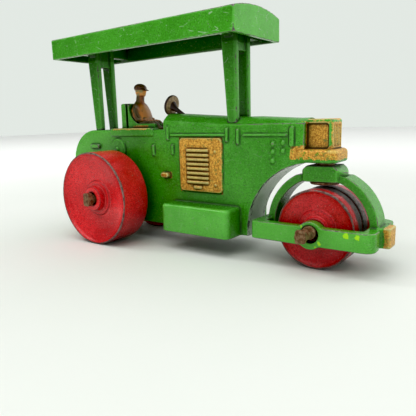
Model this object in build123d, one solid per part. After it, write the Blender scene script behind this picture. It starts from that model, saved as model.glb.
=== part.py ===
"""Die-cast toy road roller, about 48 mm long, as an assembly of its separate pieces.

Frame: +X is forwards, +Z is up, +Y is the toy's left. Millimetres.
Drawn with X = 0 at the rear axle and Z = 0 on the ground, then moved along X
so that the origin is the middle of the footprint.
"""
import os
from math import cos, radians, sin

from build123d import *

# ---------------------------------------------------------------- driving dimensions
NOSE_X = 36.6             # front of the fork's nose block
TAIL_X = -11.0            # back of the rear fenders
STEER_X = 29.2            # vertical swivel axis and front roller axis

REAR_WHEEL_R = 6.2
REAR_WHEEL_OUTER_Y = 8.2
REAR_WHEEL_INNER_Y = 3.8
ROLLER_R = 4.35
ROLLER_OUTER_Y = 2.7
ROLLER_INNER_Y = 0.12
AXLE_R = 0.75
RUNNING_GAP = 0.06        # radial clearance wherever one piece turns on another

BODY_HALF_Y = 2.05
BODY_BOTTOM_Z = 2.35
DECK_Z = 15.1
FENDER_R = 4.9
TAIL_LOWER_R = 4.05
DASH_X = 7.8
BONNET_STEP_X = 19.2      # the bonnet falls gently from the dash to here, then runs level
BONNET_FRONT_X = 27.6
BONNET_Z = 15.6           # shoulder height of the level part
BONNET_DASH_RISE = 0.75   # extra shoulder height at the dash
BONNET_CROWN = 0.85       # rise of the curved top above its shoulders
ARCH_X = 28.85            # centre of the arch over the front roller
ARCH_Z = 3.15
ARCH_R = 8.3
WALL = 0.75

RADIATOR_FRONT_X = 30.5
RADIATOR_HALF_Y = 1.4
RADIATOR_TOP_Z = 16.0
SKIRT_BACK_X = 26.35
SKIRT_FRONT_X = 31.1
SKIRT_BOTTOM_Z = 11.4
SKIRT_TOP_Z = 12.85
SKIRT_HALF_Y = 2.2

TOOLBOX_X = (9.26, 19.54)
TOOLBOX_TOP_Z = 5.85
TOOLBOX_FACE_Y = 4.9

CANOPY_X = (-10.1, 21.0)
CANOPY_HALF_Y = 5.15
CANOPY_BOTTOM_Z = 25.2
CANOPY_SIDE_Z = 27.85
CANOPY_CROWN = 0.7
CANOPY_WALL = 0.6
POST_Y = 1.3
POST_THICK_Y = 0.8
FRONT_POST_X = 19.0       # upright front edge of the front posts
REAR_POST_X = -4.5        # upright front edge of the rear posts
POST_FOOT_WIDTH = 1.4
POST_HEAD_WIDTH = 2.3
POST_BRIDGE_Z = 24.0      # underside of the bridge that joins a pair of posts
PEG_R = 0.3
PEG_LENGTH = 1.1

FORK_HALF_Y = 4.0
FORK_BAR_Y = 1.1
FORK_BACK_X = STEER_X - 7.1
FORK_FRONT_X = STEER_X + 6.6
FORK_CROSSBAR_X = 1.35
FORK_BOTTOM_Z = 2.9
FORK_TOP_Z = 4.9
EYE_R = 1.5
EYE_Z = 4.0
EYE_HOLE_R = 0.95
EYE_HOLE_Z = 4.15         # the top of the hole rests on the axle
HOOP_R = 6.3
HOOP_THICK = 0.9
HOOP_HALF_Y = 1.3
PIVOT_PAD_R = 2.45
PIVOT_PAD_HALF_Y = 1.6
PIVOT_PAD_Z = (9.35, 11.1)
PIVOT_R = 1.0
PIVOT_HEAD_R = 1.6
PIVOT_HEAD_Z = (9.0, 9.3)
PIVOT_TOP_Z = 13.6

SEAT_HALF_Y = 1.35
SEAT_BACK_X = (-0.6, 0.95)
SEAT_FRONT_X = 5.75
SEAT_BACK_Z = 18.7
CUSHION_Z = 15.9
DRIVER_PEG_R = 0.5
DRIVER_PEG_LENGTH = 0.5
HIPS = (2.8, 1.0, 1.1)          # x, half length, half width of the trunk where it sits
WAIST = (2.3, 0.95, 1.35)
SHOULDERS = (1.8, 0.75, 1.2)
COLLAR = (1.85, 0.62, 0.72)
TRUNK_Z = (CUSHION_Z, 17.4, 18.5, 19.1)
HEAD_X = 2.15
HEAD_Z = 20.4
HEAD_R = 0.8
WHEEL_HUB = (7.5, 0, 18.25)
WHEEL_R = 1.35
WHEEL_THICK = 0.4
WHEEL_ANGLE = 15          # the wheel's face leans back from upright by this much
COLUMN_R = 0.3
COLUMN_ANGLE = 33         # the column falls this much below the horizontal, towards the front
COLUMN_LENGTH = 3.2

FOOTPRINT_MIDDLE_X = (NOSE_X + TAIL_X) / 2


# ---------------------------------------------------------------- helpers
def block(x, y, z):
    """Box between pairs of limits."""
    size = (x[1] - x[0], y[1] - y[0], z[1] - z[0])
    middle = ((x[0] + x[1]) / 2, (y[0] + y[1]) / 2, (z[0] + z[1]) / 2)
    return Pos(*middle) * Box(*size)


def side_plane(y):
    """Plane seen from the right-hand side: local x is X, local y is Z, facing -Y."""
    return Plane(origin=(0, y, 0), x_dir=(1, 0, 0), z_dir=(0, -1, 0))


def across(face, y):
    """Extrude a face drawn in X and Z between two Y limits."""
    return extrude(side_plane(y[1]) * face, amount=y[1] - y[0])


def rod_y(x, z, radius, y):
    """Round bar along Y between two limits."""
    return across(Pos(x, z) * Circle(radius), y)


def rod_z(x, y, radius, z):
    """Round bar along Z between two limits."""
    return Pos(x, y, (z[0] + z[1]) / 2) * Cylinder(radius, z[1] - z[0])


def rounded(x, z, corner):
    """Rounded rectangle in X and Z."""
    middle = Pos((x[0] + x[1]) / 2, (z[0] + z[1]) / 2)
    return middle * RectangleRounded(x[1] - x[0], z[1] - z[0], corner)


def pad(x, z, corner, proud, edge):
    """Raised pad on the right-hand side of the body, with softened outer edges."""
    solid = across(rounded(x, z, corner), (-BODY_HALF_Y - proud, -BODY_HALF_Y + 0.3))
    outer = solid.faces().sort_by(Axis.Y)[0]
    return fillet(outer.edges(), edge)


def dome(x, z, radius, y):
    """Round rivet head that stands out of a face at y on the right-hand side."""
    return Pos(x, y + radius * 0.35, z) * Sphere(radius)


def limb(start, end, radius):
    """Round bar with ball ends between two points."""
    line = Vector(*end) - Vector(*start)
    bar = extrude(Plane(origin=start, z_dir=line) * Circle(radius), amount=line.length)
    return bar + Pos(*start) * Sphere(radius) + Pos(*end) * Sphere(radius)


def both_sides(solid):
    """A right-hand detail and its mirror image."""
    return solid + mirror(solid, about=Plane.XZ)


# ---------------------------------------------------------------- body
def hull():
    """Flat-sided lower body, from the fender's tail to the front of the bonnet."""
    x_fender = TAIL_X + FENDER_R
    z_fender = DECK_Z - FENDER_R
    x_lower = TAIL_X + TAIL_LOWER_R
    z_lower = BODY_BOTTOM_Z + TAIL_LOWER_R
    outline = [
        Line((x_lower, BODY_BOTTOM_Z), (BONNET_FRONT_X, BODY_BOTTOM_Z)),
        Line((BONNET_FRONT_X, BODY_BOTTOM_Z), (BONNET_FRONT_X, BONNET_Z)),
        Line((BONNET_FRONT_X, BONNET_Z), (DASH_X, BONNET_Z)),
        Line((DASH_X, BONNET_Z), (DASH_X, DECK_Z)),
        Line((DASH_X, DECK_Z), (x_fender, DECK_Z)),
        RadiusArc((x_fender, DECK_Z), (TAIL_X, z_fender), -FENDER_R),
        Line((TAIL_X, z_fender), (TAIL_X, z_lower)),
        RadiusArc((TAIL_X, z_lower), (x_lower, BODY_BOTTOM_Z), -TAIL_LOWER_R),
    ]
    solid = across(make_face(outline), (-BODY_HALF_Y, BODY_HALF_Y))
    past_sides = (-BODY_HALF_Y - 1, BODY_HALF_Y + 1)
    arch = rod_y(ARCH_X, ARCH_Z, ARCH_R, past_sides)
    under_arch = block((ARCH_X - ARCH_R, ARCH_X), past_sides, (0, ARCH_Z))
    solid = solid - arch - under_arch
    tail = solid.edges().filter_by_position(Axis.X, TAIL_X - 0.01, -FENDER_R + 1)
    rim = tail.filter_by(lambda edge: abs(abs(edge.center().Y) - BODY_HALF_Y) < 0.01)
    return fillet(rim, 0.35)


def bonnet_section(x, shoulder_z):
    """Cross-section of the bonnet: upright sides, softened shoulders, crowned top."""
    side_depth = 2.0
    knee = 0.35
    side = BODY_HALF_Y
    plane = Plane(origin=(x, 0, 0), x_dir=(0, 1, 0), z_dir=(1, 0, 0))
    low = shoulder_z - side_depth
    turn_z = shoulder_z - knee
    soft_z = shoulder_z - 0.1
    top_z = shoulder_z + 0.1
    outline = [
        Line((-side, low), (side, low)),
        Line((side, low), (side, turn_z)),
        ThreePointArc((side, turn_z), (side - 0.12, soft_z), (side - knee, top_z)),
        ThreePointArc((side - knee, top_z), (0, shoulder_z + BONNET_CROWN), (knee - side, top_z)),
        ThreePointArc((knee - side, top_z), (0.12 - side, soft_z), (-side, turn_z)),
        Line((-side, turn_z), (-side, low)),
    ]
    return plane * make_face(outline)


def bonnet():
    """Crowned top, falling from the dash to the front posts and level from there."""
    rear = loft([
        bonnet_section(DASH_X, BONNET_Z + BONNET_DASH_RISE),
        bonnet_section(BONNET_STEP_X, BONNET_Z),
    ])
    front = extrude(bonnet_section(BONNET_STEP_X, BONNET_Z), amount=BONNET_FRONT_X - BONNET_STEP_X)
    return rear + front


def radiator():
    """Narrow radiator block: rounded shell, sunk side panels, slatted front, flared skirt."""
    panel_sunk = 0.28
    slat_count = 5
    slat_pitch = 0.42
    frame_width = 0.45
    front = RADIATOR_FRONT_X
    shell = block(
        (BONNET_FRONT_X - 1, front),
        (-RADIATOR_HALF_Y, RADIATOR_HALF_Y),
        (SKIRT_BOTTOM_Z, RADIATOR_TOP_Z),
    )
    shell = fillet(shell.edges().filter_by_position(Axis.X, front - 0.01, front + 0.01), 0.35)
    panel_x = (BONNET_FRONT_X - 0.4, front - frame_width)
    panel = rounded(panel_x, (SKIRT_TOP_Z, RADIATOR_TOP_Z - frame_width), 0.3)
    for sign in (-1, 1):
        limits = sorted((sign * (RADIATOR_HALF_Y - panel_sunk), sign * (RADIATOR_HALF_Y + 1)))
        shell = shell - across(panel, limits)
    groove_z = (SKIRT_TOP_Z + 0.25, RADIATOR_TOP_Z - 0.6)
    for index in range(slat_count):
        y = (index - (slat_count - 1) / 2) * slat_pitch
        shell = shell - block((front - 0.12, front + 1), (y - 0.12, y + 0.12), groove_z)
    skirt = block(
        (SKIRT_BACK_X, SKIRT_FRONT_X),
        (-SKIRT_HALF_Y, SKIRT_HALF_Y),
        (SKIRT_BOTTOM_Z, SKIRT_TOP_Z),
    )
    skirt = fillet(skirt.edges().filter_by(Axis.Z), 0.9)
    skirt = fillet(skirt.faces().sort_by(Axis.Z)[-1].edges(), 0.45)
    skirt = fillet(skirt.faces().sort_by(Axis.Z)[0].edges(), 0.3)
    return shell + skirt


def seat():
    """Bench seat: upright back, concave sweep down to the cushion, slot behind the side."""
    back, face = SEAT_BACK_X
    base_z = DECK_Z - 0.3
    sweep_end = (face + 1.75, CUSHION_Z)
    outline = [
        Line((back, base_z), (SEAT_FRONT_X, base_z)),
        Line((SEAT_FRONT_X, base_z), (SEAT_FRONT_X, CUSHION_Z)),
        Line((SEAT_FRONT_X, CUSHION_Z), sweep_end),
        ThreePointArc(sweep_end, (face + 0.45, CUSHION_Z + 0.95), (face, SEAT_BACK_Z)),
        Line((face, SEAT_BACK_Z), (back, SEAT_BACK_Z)),
        Line((back, SEAT_BACK_Z), (back, base_z)),
    ]
    solid = across(make_face(outline), (-SEAT_HALF_Y, SEAT_HALF_Y))
    top = solid.edges().filter_by_position(Axis.Z, SEAT_BACK_Z - 0.01, SEAT_BACK_Z + 0.01)
    solid = fillet(top, 0.2)
    for sign in (-1, 1):
        slot = sorted((sign * (SEAT_HALF_Y - 0.45), sign * (SEAT_HALF_Y + 1)))
        solid = solid - block((0.3, 0.72), slot, (DECK_Z, SEAT_BACK_Z + 1))
    return solid


def side_details():
    """Raised work on the right-hand side of the body."""
    proud = 0.22
    louvre_count = 8
    louvre_pitch = 0.57
    louvre_low_z = 8.5
    louvre_half = 0.17
    louvre_x = (11.75, 15.2)
    details = [pad((10.55, 17.1), (7.3, 14.0), 0.5, proud, 0.1)]
    for index in range(louvre_count):
        z = louvre_low_z + index * louvre_pitch
        outline = rounded(louvre_x, (z - louvre_half, z + louvre_half), 0.16)
        bar = across(outline, (-BODY_HALF_Y - 0.42, -BODY_HALF_Y))
        details.append(fillet(bar.faces().sort_by(Axis.Y)[0].edges(), 0.12))
    details.append(pad((12.8, 14.1), (7.65, 8.05), 0.15, 0.4, 0.1))
    for z in (8.3, 12.4):
        details.append(dome(16.2, z, 0.25, -BODY_HALF_Y - proud))
    clips = [
        (8.6, 13.7, 15.5, 0.36),
        (17.8, 13.5, 15.2, 0.36),
        (19.35, 13.2, 15.1, 0.36),
        (26.2, 13.1, 15.3, 0.5),
    ]
    ribs = [(6.0, 11.6, 13.1, 0.4), (9.35, 11.8, 13.2, 0.36)]
    for x, low, high, width in clips + ribs:
        details.append(pad((x - width / 2, x + width / 2), (low, high), width * 0.45, proud, 0.1))
    for x in ((9.0, 17.5), (20.0, 25.7)):
        details.append(pad(x, (14.25, 14.47), 0.1, 0.14, 0.05))
    rivets = [
        (23.9, 13.4, 0.32),
        (23.9, 12.5, 0.32),
        (23.9, 11.5, 0.38),
        (25.15, 13.5, 0.32),
        (25.15, 12.6, 0.32),
    ]
    for x, z, radius in rivets:
        details.append(dome(x, z, radius, -BODY_HALF_Y))
    handle = pad((7.45, 8.8), (8.85, 9.5), 0.28, 0.6, 0.2)
    bracket = pad((-6.55, -4.6), (12.5, 13.05), 0.2, 0.4, 0.15)
    boss_face = -BODY_HALF_Y - 0.3
    boss = rod_y(-0.8, 12.4, 1.45, (boss_face, -BODY_HALF_Y + 0.3))
    boss = fillet(boss.faces().sort_by(Axis.Y)[0].edges(), 0.15)
    boss = boss + dome(-0.8, 12.4, 0.4, boss_face)
    return details + [handle, bracket, boss]


def toolbox():
    """Right-hand toolbox on the lower side."""
    face = -TOOLBOX_FACE_Y
    solid = block(TOOLBOX_X, (face, -BODY_HALF_Y + 0.3), (BODY_BOTTOM_Z, TOOLBOX_TOP_Z))
    uprights = solid.edges().filter_by(Axis.Z)
    solid = fillet(uprights.filter_by_position(Axis.Y, face - 0.01, face + 0.01), 0.7)
    lid = solid.faces().sort_by(Axis.Z)[-1]
    return fillet(lid.edges().filter_by(lambda edge: edge.center().Y < -BODY_HALF_Y), 0.4)


def body():
    """Main casting, open underneath, with its wheel axle web and pivot block left solid."""
    solid = hull() + bonnet() + radiator() + seat()
    plate_half_y = BODY_HALF_Y + 0.12
    solid = solid + across(rounded((-2.2, 6.0), (14.3, 15.3), 0.2), (-plate_half_y, plate_half_y))
    solid = solid + both_sides(toolbox())
    for detail in side_details():
        solid = solid + both_sides(detail)
    axle_boss = rod_y(0, REAR_WHEEL_R, 1.9, (-REAR_WHEEL_INNER_Y + 0.2, REAR_WHEEL_INNER_Y - 0.2))
    solid = solid + axle_boss
    inner = BODY_HALF_Y - WALL
    for limits in ((-8.8, -2.2), (2.2, ARCH_X - ARCH_R - WALL)):
        solid = solid - block(limits, (-inner, inner), (0, 13.0))
    pocket = block(
        (TOOLBOX_X[0] + WALL, TOOLBOX_X[1] - WALL),
        (WALL - TOOLBOX_FACE_Y, -BODY_HALF_Y - 0.1),
        (0, TOOLBOX_TOP_Z - WALL),
    )
    solid = solid - both_sides(pocket)
    solid = solid - rod_y(0, REAR_WHEEL_R, AXLE_R, (-5, 5))
    solid = solid - rod_z(STEER_X, 0, PIVOT_R, (0, PIVOT_TOP_Z))
    for x in (FRONT_POST_X, REAR_POST_X):
        for y in (-POST_Y, POST_Y):
            solid = solid - post(x, y)
    return solid - steering_wheel() - driver()


# ---------------------------------------------------------------- canopy
def post_foot_z(post_x):
    """Height at which the feet of a pair of posts stand."""
    return BONNET_Z + 0.1 if post_x == FRONT_POST_X else DECK_Z


def post(post_x, y):
    """One tapering post with a peg under its foot; upright in front, leaning behind."""
    foot_z = post_foot_z(post_x)
    foot_back = post_x - POST_FOOT_WIDTH
    head_back = post_x - POST_HEAD_WIDTH
    roof_z = CANOPY_SIDE_Z - 0.3
    outline = Polygon(
        (foot_back, foot_z), (post_x, foot_z), (post_x, roof_z), (head_back, roof_z), align=None
    )
    solid = across(outline, (y - POST_THICK_Y / 2, y + POST_THICK_Y / 2))
    long_edges = solid.edges().filter_by(lambda edge: edge.length > roof_z - foot_z - 0.1)
    solid = fillet(long_edges, 0.28)
    peg = rod_z(post_x - POST_FOOT_WIDTH / 2, y, PEG_R, (foot_z - PEG_LENGTH, foot_z + 0.2))
    return solid + peg


def canopy_end(x, inset, crown_drop, bottom):
    """Cross-section of the canopy, shrunk by inset, at x."""
    half = CANOPY_HALF_Y - inset
    side = CANOPY_SIDE_Z - crown_drop
    plane = Plane(origin=(x, 0, 0), x_dir=(0, 1, 0), z_dir=(1, 0, 0))
    outline = [
        Line((-half, bottom), (half, bottom)),
        Line((half, bottom), (half, side)),
        ThreePointArc((half, side), (0, side + CANOPY_CROWN), (-half, side)),
        Line((-half, side), (-half, bottom)),
    ]
    return plane * make_face(outline)


def canopy():
    """Shallow upturned tray with a barrel top, standing on two pairs of posts."""
    length = CANOPY_X[1] - CANOPY_X[0]
    shell = extrude(canopy_end(CANOPY_X[0], 0, 0, CANOPY_BOTTOM_Z), amount=length)
    shell = fillet(shell.edges().filter_by(Axis.Z), 0.2)
    hollow = extrude(
        canopy_end(CANOPY_X[0] + CANOPY_WALL, CANOPY_WALL, CANOPY_WALL, CANOPY_BOTTOM_Z - 1),
        amount=length - 2 * CANOPY_WALL,
    )
    solid = shell - hollow
    half = CANOPY_HALF_Y - CANOPY_WALL / 2
    for post_x in (FRONT_POST_X, REAR_POST_X):
        for y in (-POST_Y, POST_Y):
            solid = solid + post(post_x, y)
        web_x = (post_x - 1.5, post_x - 0.4)
        solid = solid + block(web_x, (-POST_Y, POST_Y), (POST_BRIDGE_Z, CANOPY_SIDE_Z - 0.2))
        solid = solid + block(web_x, (-half, half), (CANOPY_BOTTOM_Z + 0.35, CANOPY_SIDE_Z - 0.2))
    return solid


# ---------------------------------------------------------------- driver and steering wheel
def driver():
    """Seated figure leaning back: trunk, arms, legs, neck, head and peaked cap."""
    sections = zip((HIPS, WAIST, SHOULDERS, COLLAR), TRUNK_Z)
    figure = loft([Pos(x, 0, z) * Ellipse(half_x, half_y) for (x, half_x, half_y), z in sections])
    for side in (-1, 1):
        shoulder = (SHOULDERS[0] + 0.05, side * 1.0, 18.05)
        hand = (3.1, side * 0.95, 16.5)
        hip = (3.0, side * 0.55, CUSHION_Z + 0.41)
        knee = (4.8, side * 0.52, CUSHION_Z + 0.41)
        foot = (6.1, side * 0.52, DECK_Z + 0.42)
        figure = figure + limb(shoulder, hand, 0.42)
        figure = figure + limb(hip, knee, 0.38)
        figure = figure + limb(knee, foot, 0.36)
    neck = rod_z(COLLAR[0] + 0.05, 0, 0.55, (TRUNK_Z[2], HEAD_Z))
    head = Pos(HEAD_X, 0, HEAD_Z) * Sphere(HEAD_R)
    cap = rod_z(HEAD_X, 0, HEAD_R + 0.07, (HEAD_Z + 0.2, HEAD_Z + 1.1))
    cap = fillet(cap.edges().sort_by(Axis.Z)[-1], 0.6)
    peak = rod_z(HEAD_X + 0.75, 0, 0.62, (HEAD_Z + 0.1, HEAD_Z + 0.28))
    peg = rod_z(HIPS[0], 0, DRIVER_PEG_R, (CUSHION_Z - DRIVER_PEG_LENGTH, CUSHION_Z + 0.2))
    return figure + neck + head + cap + peak + peg


def hub_plane(angle):
    """Plane at the wheel's hub whose normal points forwards and down by an angle."""
    tilt = radians(angle)
    return Plane(origin=WHEEL_HUB, x_dir=(0, 1, 0), z_dir=(cos(tilt), 0, -sin(tilt)))


def steering_wheel():
    """Dished wheel, a cone behind its hub and a column that runs down into the bonnet."""
    wheel_plane = hub_plane(WHEEL_ANGLE)
    column_plane = hub_plane(COLUMN_ANGLE)
    disc = extrude(wheel_plane * Circle(WHEEL_R), amount=WHEEL_THICK)
    disc = fillet(disc.edges(), 0.15)
    dish = extrude(wheel_plane * Circle(WHEEL_R - 0.3), amount=0.15)
    cone = loft([
        wheel_plane.offset(WHEEL_THICK - 0.05) * Circle(0.7),
        column_plane.offset(1.1) * Circle(COLUMN_R + 0.02),
    ])
    column = extrude(column_plane.offset(WHEEL_THICK) * Circle(COLUMN_R), amount=COLUMN_LENGTH)
    return disc - dish + cone + column


# ---------------------------------------------------------------- fork and pivot
def fork_profile():
    """Side view of the fork's frame: a flat bar with a round lobe blended in at the eye."""
    bar_x = (FORK_BACK_X, FORK_FRONT_X)
    middle = Pos(sum(bar_x) / 2, (FORK_BOTTOM_Z + FORK_TOP_Z) / 2)
    bar = middle * Rectangle(bar_x[1] - bar_x[0], FORK_TOP_Z - FORK_BOTTOM_Z)
    profile = bar + Pos(STEER_X, EYE_Z) * Circle(EYE_R)
    notches = profile.vertices().filter_by(lambda vertex: abs(vertex.X - STEER_X) < EYE_R)
    return fillet(notches, 0.5)


def fork_frame():
    """Rectangular frame around the front roll, with its nose block."""
    frame = across(fork_profile(), (-FORK_HALF_Y, FORK_HALF_Y))
    uprights = frame.edges().filter_by(Axis.Z)
    frame = fillet(uprights.filter_by_position(Axis.X, FORK_BACK_X - 0.01, FORK_BACK_X + 0.01), 0.5)
    uprights = frame.edges().filter_by(Axis.Z)
    frame = fillet(uprights.filter_by_position(Axis.X, FORK_FRONT_X - 0.01, FORK_FRONT_X + 0.01), 1.1)
    window_x = (FORK_BACK_X + FORK_CROSSBAR_X, FORK_FRONT_X - FORK_CROSSBAR_X)
    window_y = FORK_HALF_Y - FORK_BAR_Y
    window = block(window_x, (-window_y, window_y), (0, FORK_TOP_Z + 2))
    window = fillet(window.edges().filter_by(Axis.Z), 0.4)
    nose = block((FORK_FRONT_X - 0.6, NOSE_X), (-1.1, 1.1), (FORK_BOTTOM_Z, FORK_TOP_Z + 0.1))
    nose = fillet(nose.edges().filter_by(Axis.Z), 0.25)
    frame = frame - window + nose
    for y in (-1.55, 1.55):
        frame = frame - rod_z(FORK_FRONT_X + 0.15, y, 0.45, (0, FORK_TOP_Z + 1))
    return frame


def fork():
    """Front roller frame with the hoop over the roll and the pivot pad on top of it."""
    below_hoop = block((0, 2 * STEER_X), (-9, 9), (-9, FORK_BOTTOM_Z + 0.5))
    ring = Pos(STEER_X, ROLLER_R) * (Circle(HOOP_R) - Circle(HOOP_R - HOOP_THICK))
    hoop = across(ring, (-HOOP_HALF_Y, HOOP_HALF_Y)) - below_hoop
    pad_slice = block((0, 2 * STEER_X), (-PIVOT_PAD_HALF_Y, PIVOT_PAD_HALF_Y), (0, 20))
    pivot_pad = rod_z(STEER_X, 0, PIVOT_PAD_R, PIVOT_PAD_Z) & pad_slice
    pivot_pad = fillet(pivot_pad.edges().filter_by(Axis.Z), 0.3)
    solid = fork_frame() + hoop + pivot_pad
    solid = solid - rod_y(STEER_X, EYE_HOLE_Z, EYE_HOLE_R, (-9, 9))
    return solid - rod_z(STEER_X, 0, PIVOT_R + RUNNING_GAP, (PIVOT_PAD_Z[0] - 1, 20))


def pivot_rivet():
    """Steel rivet: flat head below the fork's pad, shank driven into the body."""
    head = rod_z(STEER_X, 0, PIVOT_HEAD_R, PIVOT_HEAD_Z)
    head = fillet(head.edges().sort_by(Axis.Z)[0], 0.15)
    return head + rod_z(STEER_X, 0, PIVOT_R, (PIVOT_HEAD_Z[0] + 0.1, PIVOT_TOP_Z))


# ---------------------------------------------------------------- axles
def flattened_end(x, z, y, width_z, thick_x):
    """Crimped tip of an axle: squashed along X, so it spreads in Z."""
    tip = block((x - thick_x / 2, x + thick_x / 2), y, (z - width_z / 2, z + width_z / 2))
    return fillet(tip.edges().filter_by(Axis.Y), 0.3)


def front_axle():
    """Steel pin through the fork's eyes, its long end out on the right."""
    right = FORK_HALF_Y + 2.3
    left = FORK_HALF_Y + 0.75
    pin = rod_y(STEER_X, ROLLER_R, AXLE_R, (-right, left - 0.3))
    pin = pin + flattened_end(STEER_X, ROLLER_R, (-right, 0.5 - right), 1.7, 1.35)
    return pin + flattened_end(STEER_X, ROLLER_R, (left - 0.7, left), 2.3, 1.0)


def rear_axle():
    """Steel pin through the body, crimped outside both wheels."""
    end = REAR_WHEEL_OUTER_Y + 1.0
    pin = rod_y(0, REAR_WHEEL_R, AXLE_R, (0.3 - end, end - 0.3))
    for sign in (-1, 1):
        limits = sorted((sign * (end - 0.85), sign * end))
        pin = pin + flattened_end(0, REAR_WHEEL_R, limits, 2.1, 1.25)
    return pin


# ---------------------------------------------------------------- wheels
def dished_disc(radius, land, bowl_depth, ring_r, boss_r, y_in, y_out, back_dish):
    """Cast wheel turned about Y: rim land, bowl-shaped face, ring and boss, dished back."""
    bore = AXLE_R + RUNNING_GAP
    bowl_r = radius - land
    half_r = (bowl_r + ring_r) / 2
    floor = y_out - bowl_depth
    outline = [
        Line((bore, y_in), (boss_r, y_in)),
        Line((boss_r, y_in), (boss_r + 0.3, y_in + back_dish)),
        Line((boss_r + 0.3, y_in + back_dish), (bowl_r - 0.3, y_in + back_dish)),
        Line((bowl_r - 0.3, y_in + back_dish), (bowl_r, y_in)),
        Line((bowl_r, y_in), (radius - 0.12, y_in)),
        Line((radius - 0.12, y_in), (radius, y_in + 0.12)),
        Line((radius, y_in + 0.12), (radius, y_out - 0.12)),
        Line((radius, y_out - 0.12), (radius - 0.12, y_out)),
        Line((radius - 0.12, y_out), (bowl_r, y_out)),
        ThreePointArc((bowl_r, y_out), (half_r, floor + bowl_depth * 0.22), (ring_r, floor)),
        Line((ring_r, floor), (ring_r, floor + 0.25)),
        Line((ring_r, floor + 0.25), (boss_r + 0.15, floor + 0.25)),
        Line((boss_r + 0.15, floor + 0.25), (boss_r, y_out)),
        Line((boss_r, y_out), (bore, y_out)),
        Line((bore, y_out), (bore, y_in)),
    ]
    return revolve(make_face(outline), axis=Axis.Y)


def rear_wheel():
    """Left-hand rear wheel."""
    disc = dished_disc(REAR_WHEEL_R, 0.3, 1.2, 2.35, 1.65, REAR_WHEEL_INNER_Y, REAR_WHEEL_OUTER_Y, 0.9)
    return Pos(0, 0, REAR_WHEEL_R) * disc


def roller():
    """Left-hand half of the front roll."""
    disc = dished_disc(ROLLER_R, 0.25, 0.75, 2.1, 1.35, ROLLER_INNER_Y, ROLLER_OUTER_Y, 0.3)
    return Pos(STEER_X, 0, ROLLER_R) * disc


# ---------------------------------------------------------------- export
def assembly():
    """Every separate piece by name."""
    return {
        "body": body(),
        "canopy": canopy(),
        "driver": driver(),
        "steering_wheel": steering_wheel(),
        "fork": fork(),
        "pivot_rivet": pivot_rivet(),
        "front_axle": front_axle(),
        "roller_left": roller(),
        "roller_right": mirror(roller(), about=Plane.XZ),
        "rear_axle": rear_axle(),
        "rear_wheel_left": rear_wheel(),
        "rear_wheel_right": mirror(rear_wheel(), about=Plane.XZ),
    }


os.makedirs("parts", exist_ok=True)
for name, piece in assembly().items():
    export_step(Pos(-FOOTPRINT_MIDDLE_X, 0, 0) * piece, "parts/" + name + ".step")
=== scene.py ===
import math

import bpy
import numpy as np
from mathutils import Matrix, Vector, noise


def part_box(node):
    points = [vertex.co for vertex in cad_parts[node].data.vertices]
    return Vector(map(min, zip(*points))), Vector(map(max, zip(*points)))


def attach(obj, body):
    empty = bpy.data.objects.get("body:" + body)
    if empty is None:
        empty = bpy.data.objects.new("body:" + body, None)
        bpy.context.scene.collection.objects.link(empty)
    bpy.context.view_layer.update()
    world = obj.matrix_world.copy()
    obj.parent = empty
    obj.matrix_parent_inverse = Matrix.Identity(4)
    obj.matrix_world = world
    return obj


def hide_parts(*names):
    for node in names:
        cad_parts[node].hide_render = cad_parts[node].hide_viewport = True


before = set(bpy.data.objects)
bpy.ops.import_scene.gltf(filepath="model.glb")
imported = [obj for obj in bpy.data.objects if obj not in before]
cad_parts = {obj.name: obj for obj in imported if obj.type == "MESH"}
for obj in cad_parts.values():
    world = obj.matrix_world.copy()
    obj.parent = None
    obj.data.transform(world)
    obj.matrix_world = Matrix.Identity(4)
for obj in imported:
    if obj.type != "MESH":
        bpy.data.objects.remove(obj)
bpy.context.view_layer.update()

MM = 0.001

# Shapes are made in millimetres. The toy faces +X and its right-hand side is at -Y.


def box_mm(name):
    """Low and high corner of a CAD node."""
    return [np.array(corner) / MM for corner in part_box(name)]


def middle_mm(name):
    low, high = box_mm(name)
    return (low + high) / 2


AXLE_X = middle_mm("rear_axle")[0]              # details are laid out forwards from the rear axle
STEER_X = 29.2                                  # steering axis
ARCH_X, ARCH_Z, ARCH_RADIUS = 28.85, 3.15, 8.3  # arch of the body over the front roller


# ---------------------------------------------------------------- mesh tools
def link(name, data):
    obj = bpy.data.objects.new(name, data)
    bpy.context.scene.collection.objects.link(obj)
    return obj


def rows_of(items, key, width, kind=np.float32):
    """One row of numbers for each vertex, normal or edge."""
    values = np.empty(len(items) * width, kind)
    items.foreach_get(key, values)
    return values.reshape(-1, width)


def points_of(mesh):
    return rows_of(mesh.vertices, "co", 3).astype(float)


def normals_of(mesh):
    return rows_of(mesh.vertex_normals, "vector", 3).astype(float)


def edges_of(mesh):
    return rows_of(mesh.edges, "vertices", 2, np.int32)


def set_points(mesh, points):
    mesh.vertices.foreach_set("co", points.astype(np.float32).ravel())
    mesh.update()


def store(mesh, name, values):
    """Keeps one number between -2 and 2 for each vertex, for the materials to read."""
    attribute = mesh.attributes.new(name, "FLOAT", "POINT")
    attribute.data.foreach_set("value", np.clip(values, -2, 2).astype(np.float32))


def relax(points, edges, rounds, strength=0.5):
    """Moves every point towards the mean of its neighbours."""
    points = points.copy()
    size = len(points)
    count = np.bincount(edges.ravel(), minlength=size)[:, None]
    for _ in range(rounds):
        total = np.stack([
            np.bincount(edges[:, 0], points[edges[:, 1], axis], size)
            + np.bincount(edges[:, 1], points[edges[:, 0], axis], size)
            for axis in range(3)
        ], axis=1)
        points += strength * (total / np.maximum(count, 1) - points)
    return points


def fold(points, scale, offset=0.0):
    """Smooth value between about -1 and 1 at every point, its features 1 / scale wide."""
    shift = Vector((offset, 2 * offset, -offset))
    return np.array([noise.noise(Vector(p) * scale + shift) for p in points.tolist()])


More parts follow.
